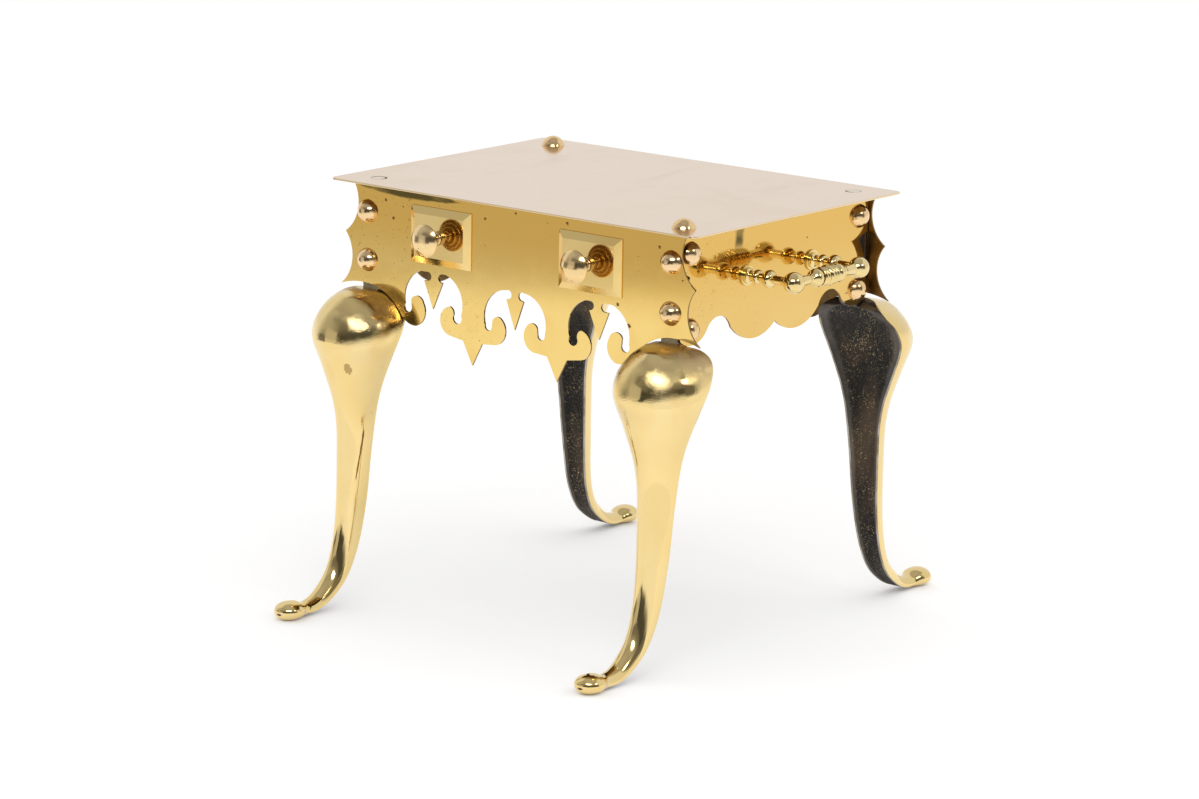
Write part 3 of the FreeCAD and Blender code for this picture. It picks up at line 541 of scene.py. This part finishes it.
def sheet(name, axis, face, pale, deep, marks):
    """Apron sheet: polished outer face, dark sawn edges and a brown face inside."""
    material, tree = new_material(name)
    place = tree.axes(tree.place())
    out, along = tree.math("ABSOLUTE", place[axis]), place[1 - axis]
    outside = tree.step(out, face - 0.00012, face - 0.00002)
    inside = tree.step(out, face - SHEET_GAUGE + 0.00015, face - SHEET_GAUGE + 0.00002)
    drop = tree.math("SUBTRACT", TOP_FACE, place[2])
    cloud = tree.math("MULTIPLY", tree.step(tree.noise(14, 4, distortion=0.7), 0.35, 0.7), 0.5)
    # Painted light and shade: deeper near the top, paler lower down where the sheet mirrors the bright
    # floor.
    height = tree.step(drop, *DEEPER_DROP, 1.0, 0.0)
    color = tree.mix(tree.math("MAXIMUM", cloud, height), pale, deep)
    worn_end = tree.step(along, *WORN_END)
    scratched = tree.mix_value(worn_end, 0.05, 0.3)
    spots = tree.math("MAXIMUM", specks(tree, 230, 0.0006, scratched), specks(tree, 120, 0.0007, 0.04))
    blots = tree.math("MULTIPLY", tree.step(tree.noise(260, 3, distortion=1.5), 0.62, 0.7), 0.5)
    spots = tree.math("MAXIMUM", spots, tree.math("MULTIPLY", blots, tree.math("MULTIPLY", worn_end, 0.7)))
    spots = tree.math("MAXIMUM", spots, marks_on(tree, along, drop, marks))
    # Painted shade: the pits' brown also goes where ambient occlusion finds corners, with tarnish there.
    grime_and_shade = groove_tarnish_and_shade(tree, 0.0025)
    roughness, relief = polish(tree, 0.05, 0.05, 0.00003)
    dark = tree.math("MAXIMUM", spots, tree.math("MULTIPLY", grime_and_shade, 0.8))
    color = tree.mix(dark, color, SHEET_PITS_AND_SHADE)
    # Painted shade: a dark strip under the top, standing for a dark reflection, and a smear beside the
    # handle.
    color = tree.mix(top_shade(tree, axis, along, drop), color, SHEET_SHADE)
    edge = tree.mix(tree.noise(200, 2), SHEET_EDGE, SHEET_EDGE_PALE)
    color = tree.mix(outside, edge, color)
    patina = tree.step(tree.noise(30, 5, distortion=1.0), 0.32, 0.7)
    brown = tree.mix(patina, INSIDE_PALE, INSIDE_DARK)
    color = tree.mix(inside, color, brown)
    worn = tree.math("MULTIPLY", inside, 0.32)
    roughness = tree.math("ADD", roughness, tree.math("ADD", worn, tree.math("MULTIPLY", dark, 0.25)))
    return finished(material, tree, base_color=color, roughness=roughness, normal=relief)


# Painted strip of dark reflection under the top: its middle left of centre, its reach each way, half its
# height, and its drop at the middle of the sheet with the slope of it.
STRIP_MIDDLE = 0.105
STRIP_REACH = 0.052
STRIP_HALF = 0.0037
STRIP_DROP = 0.0068
STRIP_SLOPE = 0.014
# Smear beside the handle: its place along the side at the top, its slope, its width and its reach.
SMEAR_ALONG = -0.0445
SMEAR_SLOPE = 0.12
SMEAR_WIDTH = (0.0066, 0.0022)
SMEAR_DROP = (0.027, 0.018)


def top_shade(tree, axis, along, drop):
    """Painted shade: a strip under the top standing for a dark reflection there, or a smear beside the
    handle.
    """
    grain = tree.step(tree.noise(150, 4, tree.stretched((0.25, 0.25, 1))), 0.3, 0.62, 0.55, 1.0)
    uneven = tree.math("MULTIPLY", tree.math("SUBTRACT", tree.noise(95, 4), 0.5), 0.0022)
    if axis == 1:
        middle = tree.math("ADD", STRIP_DROP, tree.math("MULTIPLY", along, STRIP_SLOPE))
        gap = tree.math("ADD", tree.math("ABSOLUTE", tree.math("SUBTRACT", drop, middle)), uneven)
        taper = tree.math("DIVIDE", tree.math("ADD", along, STRIP_MIDDLE), STRIP_REACH)
        lens = tree.math("SUBTRACT", 1.0, tree.math("POWER", taper, 2))
        half = tree.math("MULTIPLY", lens, STRIP_HALF)
        strip = tree.step(tree.math("SUBTRACT", gap, half), 0.0007, -0.0009)
        return tree.math("MULTIPLY", strip, grain)
    middle = tree.math("SUBTRACT", SMEAR_ALONG, tree.math("MULTIPLY", drop, SMEAR_SLOPE))
    gap = tree.math("ADD", tree.math("ABSOLUTE", tree.math("SUBTRACT", along, middle)), uneven)
    smear = tree.math("MULTIPLY", tree.step(gap, *SMEAR_WIDTH), tree.step(drop, *SMEAR_DROP))
    return tree.math("MULTIPLY", smear, grain)


TOP_PALE = (0.885, 0.70, 0.52)
TOP_DEEP = (0.86, 0.66, 0.475)
TOP_STAIN = (0.76, 0.58, 0.43)
TOP_SPOT = (0.5, 0.36, 0.22)
TOP_EDGE = (0.85, 0.66, 0.40)
UNDER_PALE = (0.26, 0.155, 0.05)
UNDER_DARK = (0.11, 0.065, 0.028)
STUB_BRASS = (0.80, 0.66, 0.50)
# Painted shade in the open gaps beside the stubs.
GAP_SHADE = (0.12, 0.06, 0.015)


def top_sheet():
    """The top: polished to a cloudy mirror above, bright at its edge, brown underneath."""
    material, tree = new_material("top_sheet")
    x, y, z = tree.axes(tree.place())
    above = tree.step(z, TOP_FACE - 0.00015, TOP_FACE - 0.00005)
    below = tree.step(z, TOP_UNDERSIDE + 0.00012, TOP_UNDERSIDE + 0.00004)
    stain = tree.step(tree.noise(8, 5, distortion=0.9), 0.44, 0.74)
    ring = tree.step(tree.noise(26, 4, tree.stretched((1, 0.35, 1)), distortion=1.2), 0.52, 0.8)
    color = tree.mix(stain, TOP_PALE, TOP_DEEP)
    color = tree.mix(tree.math("MULTIPLY", ring, 0.45), color, TOP_STAIN)
    spots = specks(tree, 110, 0.0005, 0.04)
    color = tree.mix(tree.math("MULTIPLY", spots, 0.6), color, TOP_SPOT)
    # Painted shade in the open gaps beside the two stubs.
    gaps = stub_gaps(tree, x, y)
    color = tree.mix(gaps, color, GAP_SHADE)
    color = tree.mix(above, TOP_EDGE, color)
    patina = tree.step(tree.noise(26, 5, distortion=1.0), 0.3, 0.7)
    color = tree.mix(below, color, tree.mix(patina, UNDER_PALE, UNDER_DARK))
    smear = tree.noise(40, 4, distortion=1.0)
    roughness = tree.math("ADD", tree.step(smear, 0.3, 0.8, 0.1, 0.17), tree.math("MULTIPLY", stain, 0.04))
    roughness = tree.math("ADD", roughness, tree.math("MULTIPLY", below, 0.25))
    relief = tree.bump(tree.noise(14, 2), 0.00004)
    relief = tree.bump(tree.noise(900, 2), 0.000003, normal=relief)
    solid = tree.math("SUBTRACT", 1.0, gaps)
    return finished(
        material,
        tree,
        base_color=color,
        roughness=tree.math("ADD", roughness, tree.math("MULTIPLY", gaps, 0.6)),
        metallic=solid,
        specular_ior_level=tree.math("MULTIPLY", solid, 0.5),
        normal=relief,
    )


STUB_HALF = 0.0057
# Inner and outer edge of the gap around a stub, as distances from the stub's middle.
GAP_INNER = (0.0050, 0.0053)
GAP_OUTER = (0.0069, 0.0065)
# The gap of the front left stub and of the back right one: the bearing of its middle from +X and
# half its span, in degrees, and how softly it ends.
GAP_SPANS = ((79.1, 110), (-95.9, 40))
GAP_FADE = 12


def stub_gaps(tree, x, y):
    """Painted shade: dark crescents where the worn holes stand open beside the two flush stubs."""
    low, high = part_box("top_rivet_stubs")
    centres = ((low[0] + STUB_HALF, low[1] + STUB_HALF), (high[0] - STUB_HALF, high[1] - STUB_HALF))
    dark = 0.0
    for (centre_x, centre_y), (middle, half) in zip(centres, GAP_SPANS):
        gap_x = tree.math("SUBTRACT", x, centre_x)
        gap_y = tree.math("SUBTRACT", y, centre_y)
        turned = tree.math("ABSOLUTE", tree.bearing(gap_x, gap_y, middle))
        within = tree.step(turned, half + GAP_FADE, half - GAP_FADE)
        distance = tree.length(gap_x, gap_y)
        ring = tree.math("MULTIPLY", tree.step(distance, *GAP_INNER), tree.step(distance, *GAP_OUTER))
        dark = tree.math("MAXIMUM", dark, tree.math("MULTIPLY", ring, within))
    return dark


def flush_stub():
    """A stub filed flush with the top, with painted shade where the hole beside it stands open."""
    material, tree = new_material("stub")
    x, y = tree.axes(tree.place())[:2]
    gaps = stub_gaps(tree, x, y)
    color = tree.mix(gaps, STUB_BRASS, GAP_SHADE)
    return finished(
        material,
        tree,
        base_color=color,
        roughness=tree.step(gaps, 0, 1, 0.16, 0.8),
        metallic=tree.math("SUBTRACT", 1.0, gaps),
        specular_ior_level=tree.step(gaps, 0, 1, 0.5, 0.0),
    )


# Pits and plugged holes of the aprons: along the sheet, drop and size, millimetres.
FRONT_MARKS = (
    (-122, 26, 1.5),
    (-130, 13, 1.2),
    (-112, 16, 0.9),
    (-30, 15, 1.2),
    (0, 7, 1.3),
    (50, 8, 1.4),
    (137, 14, 1.5),
    (99, 62, 1.5),
    (110, 77, 1.9),
    (159, 36, 1.0),
)
SIDE_MARKS = ((-62, 42, 1.3), (-20, 30, 0.9), (38, 26, 0.9), (64, 52, 0.9))
# Colours of each brass where it is palest and where it is deepest.
GOLD_PALE = (0.90, 0.65, 0.225)
GOLD_DEEP = (0.77, 0.475, 0.115)
SIDE_PALE = (0.82, 0.56, 0.19)
SIDE_DEEP = (0.76, 0.48, 0.13)
PLATE_PALE = (0.90, 0.67, 0.28)
PLATE_DEEP = (0.87, 0.61, 0.22)
DOME_PALE = (0.91, 0.66, 0.37)
DOME_DEEP = (0.88, 0.61, 0.31)
TURNING_PALE = (0.87, 0.70, 0.35)
TURNING_DEEP = (0.84, 0.63, 0.26)
KNOB_PALE = (0.92, 0.69, 0.36)
KNOB_DEEP = (0.88, 0.62, 0.29)
# Brown of the knobs' pits and grooves, also painted as shade over their undersides.
KNOB_DIRT_AND_SHADE = (0.27, 0.15, 0.04)
NUT_BROWN = (0.30, 0.19, 0.08)
NUT_DARK = (0.16, 0.10, 0.045)

FINISHES = {
    "top_sheet": top_sheet(),
    "front": sheet("front_sheet", 1, FRONT_FACE, GOLD_PALE, GOLD_DEEP, FRONT_MARKS),
    "side": sheet("side_sheet", 0, SIDE_FACE, SIDE_PALE, SIDE_DEEP, SIDE_MARKS),
    "leg_casting": casting(),
    "leg_rim": leg_rim(),
    "leg_back": leg_back(),
    "leg_post": leg_post(),
    "drawer_plate": polished("drawer_plate", PLATE_PALE, PLATE_DEEP, reach=0.001),
    "dome": polished("dome", DOME_PALE, DOME_DEEP, reach=0.003, rough=0.13),
    "stub": flush_stub(),
    "turning": polished("turning", TURNING_PALE, TURNING_DEEP, reach=0.008),
    # The knob's long reach paints shade over its underside, darkening what the top mirrors of it.
    "knob": polished("knob", KNOB_PALE, KNOB_DEEP, KNOB_DIRT_AND_SHADE, reach=0.03, rough=0.16),
    "nut": polished("nut", NUT_BROWN, NUT_DARK, rough=0.35),
}
# Nodes whose finish is a variant of their slot.
FINISH_OF_NODE = {
    "front_apron": "front",
    "back_apron": "front",
    "right_side_apron": "side",
    "left_side_apron": "side",
    "left_knob": "knob",
    "right_knob": "knob",
}


def dress_cad():
    """Gives each CAD node that still shows the finish of its slot."""
    slots = {part["node"]: part["material_slot"] for part in frame["record"]["subparts"]}
    for name, node in nodes.items():
        node.data.materials.clear()
        node.data.materials.append(FINISHES[FINISH_OF_NODE.get(name, slots[name])])


# -------------------------------------------------------------------------------------------- legs

# The legs are worked out in millimetres and made metres at the end.
TOP_HEIGHT = TOP_FACE / MILLIMETRE
LEG_ACROSS = 149

# Down one leg from the crown of the knee: drop below the top, how far out the flat back is from
# the middle, lean of the section in degrees, half the width, depth to the rounded front, and how
# deep the section's underside hangs below the flat back.
LEG_RINGS = (
    (84, 117, 0, 8, 20, 0),
    (85.2, 115.2, 0, 15, 26.8, 0),
    (88, 109.5, 0, 22, 39, 0),
    (92, 108, 0, 28, 45, 0),
    (97, 109.5, 0, 32.5, 47.5, 0),
    (104, 114.5, 0, 36.6, 46, 0),
    (112, 119.3, 0, 38.2, 43.7, 0),
    (122, 123.5, 0, 36.8, 40.6, 0),
    (135, 125.5, 0, 32, 34, 0),
    (150, 126.5, 0, 26, 28.4, 0),
    (168, 126.5, 0, 19.8, 23.4, 0),
    (190, 127, 0, 16, 19.6, 0),
    (215, 129, 2, 14.2, 17.8, 0),
    (240, 130.8, 4, 12.9, 17, 0),
    (262, 133.8, 9, 11.7, 15.8, 0),
    (282, 138.5, 17, 10.8, 14.4, 0),
    (298.5, 145.2, 29, 10, 13, 0),
    (310, 153, 42, 9.4, 11.6, 0),
    (318.5, 163, 55, 8.9, 10.2, 0),
    (325, 174.5, 69, 8.3, 8.8, 0),
    (327.4, 185, 80, 7.8, 7.8, 0.6),
    (326.6, 193.4, 88, 7.9, 6.6, 3),
    (325, 198, 90, 9.6, 7.2, 5.2),
    (324.4, 202.4, 90, 11.2, 7.5, 6.2),
    (324.2, 207, 90, 11.5, 7.5, 6.6),
    (324.2, 211.2, 90, 10.2, 6.7, 6.2),
    (324.2, 214.4, 90, 7.7, 5.1, 4.9),
    (324.2, 216.6, 90, 4.2, 2.8, 2.8),
    (324.2, 217.4, 90, 0.5, 0.4, 0.4),
)
FRONT_STEPS = 44
FLOOR_STEPS = 26
RING_GAP = 1.6
# The back's filed corner and rim, each no more than a share of half the width.
EDGE = 0.45
EDGE_SHARE = 0.1
RIM_WIDTH = 1.9
RIM_SHARE = 0.2
# The scooped back: the drops over which it deepens and runs out, how deep it is, no more than a
# share of half the width, how its section curves, and the arch that closes it at the top.
SUNK_START = (89.5, 98)
SUNK_END = (316, 326)
SUNK_DEPTH = 3.2
SUNK_SHARE = 0.22
HOLLOW_POWER = 2.6
HOLLOW_ROUND = 0.8
ARCH_TOP = 90
ARCH_FOOT = 113
ARCH_HALF = 33.5
ARCH_START = 4
# Lumps of the scooped back: how many to a millimetre, and how deep.
LUMPS = ((0.21, 0.3), (0.6, 0.16))

# Finishes of a leg, and where they change: bare casting above the rim, rim alone under the foot
# and polish all round the toe, which starts where the section hangs this far.
POLISHED, RIM, SUNK, BARE = range(4)
LEG_FINISHES = ("leg_casting", "leg_rim", "leg_back", "leg_post")
BARE_RIM_FOOT = 110
RIM_ONLY_FROM = 324.5
TOE_HANG = 2.2
# Where the filed corner turns, inwards and under as shares of its size, and the finish there.
EDGE_TURNS = ((0.35, 0.7, POLISHED), (1.2, 1, RIM))
SHARP_ANGLE = 38

# How each casting strays from the pattern: bow of the shin along X and Y, and sag of the crown,
# with the drops over which they come and go.
BOW_START = (110, 175)
BOW_END = (240, 318)
SAG_END = (92, 128)
LEG_STRAY = {
    "front_left": (1.2, -1.0, 0),
    "front_right": (0, 0, 0),
    "back_left": (2.6, 2.1, 0),
    "back_right": (0, 0, 4),
}


def natural_spline(knots, values, places):
    """Smooth curve through the values at the knots, read off at the places."""
    count = len(knots)
    gaps = np.diff(knots)
    matrix = np.eye(count)
    pull = np.zeros((count, values.shape[1]))
    for i in range(1, count - 1):
        matrix[i, i - 1 : i + 2] = (gaps[i - 1], 2 * (gaps[i - 1] + gaps[i]), gaps[i])
        slopes = np.diff(values[i - 1 : i + 2], axis=0) / gaps[i - 1 : i + 1, None]
        pull[i] = 6 * (slopes[1] - slopes[0])
    bend = np.linalg.solve(matrix, pull)
    cell = np.clip(np.searchsorted(knots, places) - 1, 0, count - 2)
    gap = gaps[cell][:, None]
    before = (places - knots[cell])[:, None]
    after = gap - before
    curve = (bend[cell] * after**3 + bend[cell + 1] * before**3) / (6 * gap)
    curve += (values[cell] / gap - bend[cell] * gap / 6) * after
    curve += (values[cell + 1] / gap - bend[cell + 1] * gap / 6) * before
    return curve


def smooth(value, start, end):
    share = min(max((value - start) / (end - start), 0), 1)
    return share * share * (3 - 2 * share)


def leg_rings():
    """Evenly spaced sections down the leg, read off smooth curves through the table."""
    table = np.array(LEG_RINGS, float)
    steps = np.hypot(np.diff(table[:, 0]), np.diff(table[:, 1])) + np.abs(np.diff(table[:, 3])) / 2
    knots = np.concatenate(([0], np.cumsum(steps)))
    places = np.linspace(0, knots[-1], int(knots[-1] / RING_GAP))
    return natural_spline(knots, table, places)


def ring_points(drop, half, depth, under):
    """One section going round once: across, from the flat back to the front, zone and hollow."""
    points = []
    for i in range(FRONT_STEPS + 1):
        turn = pi * i / FRONT_STEPS
        points.append((half * cos(turn), depth * sin(turn), POLISHED, 0))
    sunk = smooth(drop, *SUNK_START) * (1 - smooth(drop, *SUNK_END))
    edge = min(EDGE, half * EDGE_SHARE)
    wall = half - min(RIM_WIDTH, half * RIM_SHARE)
    arch = min(max((ARCH_FOOT - drop) / (ARCH_FOOT - ARCH_TOP), 0), 1)
    wall = min(wall, ARCH_HALF * sqrt(1 - arch**2) + ARCH_START)
    marks = [(half - edge * inwards, -edge * down, zone, 0) for inwards, down, zone in EDGE_TURNS]
    for i in range(FLOOR_STEPS + 1):
        share = sin((1 - 2 * i / FLOOR_STEPS) * pi / 2)
        hollow = (1 - abs(share) ** HOLLOW_POWER) ** HOLLOW_ROUND * (drop > ARCH_TOP)
        hollow_depth = min(SUNK_DEPTH, half * SUNK_SHARE) * sunk * hollow
        zone = RIM if i in (0, FLOOR_STEPS) else SUNK
        marks.append((wall * share, hollow_depth - edge, zone, hollow))
    marks += [(-x, y, zone, hollow) for x, y, zone, hollow in reversed(marks[:2])]
    for x, y, zone, hollow in reversed(marks):
        hang = under * sqrt(max(0, 1 - (x / half) ** 2)) if half else 0
        points.append((x, y - hang, zone, hollow))
    return points


# The post as cast in one with the knee: drop, outer and inner face out from the middle.
POST_RINGS = (
    (1.5, 116.7, 100.7),
    (74, 116.7, 100.7),
    (80, 117, 101),
    (85, 118, 102.5),
    (89, 120, 105.5),
    (92, 122, 110),
)
POST_SIDES = (139, 154)
POST_EDGE = 0.8
POST_AROUND = 8


def post_points(drop, outer, inner):
    """One section of the post, its four upright edges cut off a little."""
    corners = []
    for x, y, step_x, step_y in (
        (POST_SIDES[0], -outer, 1, 1),
        (POST_SIDES[1], -outer, -1, 1),
        (POST_SIDES[1], -inner, -1, -1),
        (POST_SIDES[0], -inner, 1, -1),
    ):
        pair = [(x + step_x * POST_EDGE, y), (x, y + step_y * POST_EDGE)]
        corners += pair if step_x * step_y < 0 else reversed(pair)
    return [(x, y, TOP_HEIGHT - drop) for x, y in corners]


def leg_zone(zone, drop, under):
    """Which finish a part of the section has: polished, rim, sunk back or bare casting."""
    if zone == POLISHED or under > TOE_HANG:
        return POLISHED
    if drop < ARCH_TOP or (zone == RIM and drop < BARE_RIM_FOOT):
        return BARE
    return RIM if drop > RIM_ONLY_FROM else zone


def skin(faces, zones, first, around, count, ring_zones):
    """Quads between rings of points that lie one after the other."""
    for ring in range(count - 1):
        for i in range(around):
            start, turn = first + ring * around, (i + 1) % around
            faces.append((start + i, start + turn, start + around + turn, start + around + i))
            zones.append(max(ring_zones[ring][i], ring_zones[ring][turn]))
    faces.append(tuple(range(first, first + around)))
    zones.append(ring_zones[0][-1])
    faces.append(tuple(range(first + around * (count - 1), first + around * count)))
    zones.append(ring_zones[-1][0])


def build_leg(name, sign_x, sign_y):
    """A cabriole leg cast in one with its post: polished front, filed rim and sunk dark back."""
    vertices, faces, zones, ring_zones, hollows = [], [], [], [], []
    bow_x, bow_y, sag = LEG_STRAY[name]
    bow_x, bow_y = bow_x * sign_x, bow_y * sign_y
    rings = leg_rings()
    for drop, out, lean, half, depth, under in rings:
        tilt = radians(lean)
        bowed = smooth(drop, *BOW_START) * (1 - smooth(drop, *BOW_END))
        sagging = 1 - smooth(drop, *SAG_END)
        ring_zones.append([])
        for across, front, zone, hollow in ring_points(drop, half, depth, under):
            spot = Vector((across, out * sign_y, drop * sign_x))
            front += hollow * sum(size * noise.noise(spot * scale) for scale, size in LUMPS)
            hollows.append(hollow)
            y = -(out + front * cos(tilt)) + bow_y * bowed
            z = TOP_HEIGHT - drop + front * sin(tilt) - sag * sagging * max(front, 0) / depth
            vertices.append((LEG_ACROSS + across + bow_x * bowed, y, max(z, 0)))
            ring_zones[-1].append(leg_zone(zone, drop, under))
    skin(faces, zones, 0, len(ring_zones[0]), len(rings), ring_zones)
    first = len(vertices)
    for ring in POST_RINGS:
        vertices += post_points(*ring)
        hollows += [0] * POST_AROUND
    bare_rings = [[BARE] * POST_AROUND] * len(POST_RINGS)
    skin(faces, zones, first, POST_AROUND, len(POST_RINGS), bare_rings)
    mesh = bpy.data.meshes.new(f"{name}_cabriole")
    scale_x, scale_y = sign_x * MILLIMETRE, sign_y * MILLIMETRE
    mesh.from_pydata([(x * scale_x, y * scale_y, z * MILLIMETRE) for x, y, z in vertices], [], faces)
    for finish in LEG_FINISHES:
        mesh.materials.append(FINISHES[finish])
    mesh.polygons.foreach_set("material_index", zones)
    mesh.attributes.new("hollow", "FLOAT", "POINT").data.foreach_set("value", hollows)
    work = bmesh.new()
    work.from_mesh(mesh)
    bmesh.ops.recalc_face_normals(work, faces=work.faces)
    work.to_mesh(mesh)
    work.free()
    mesh.shade_smooth()
    mesh.set_sharp_from_angle(angle=radians(SHARP_ANGLE))
    leg = bpy.data.objects.new(mesh.name, mesh)
    bpy.context.scene.collection.objects.link(leg)
    return leg


def build_legs():
    for end, sign_y in (("front", 1), ("back", -1)):
        for side, sign_x in (("left", -1), ("right", 1)):
            leg = build_leg(f"{end}_{side}", sign_x, sign_y)
            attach(leg, "root")
            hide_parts(f"{end}_{side}_leg")


build_world()
build_floor()
build_lights()
build_camera()
dress_cad()
build_legs()
bpy.context.scene.view_settings.view_transform = "Standard"
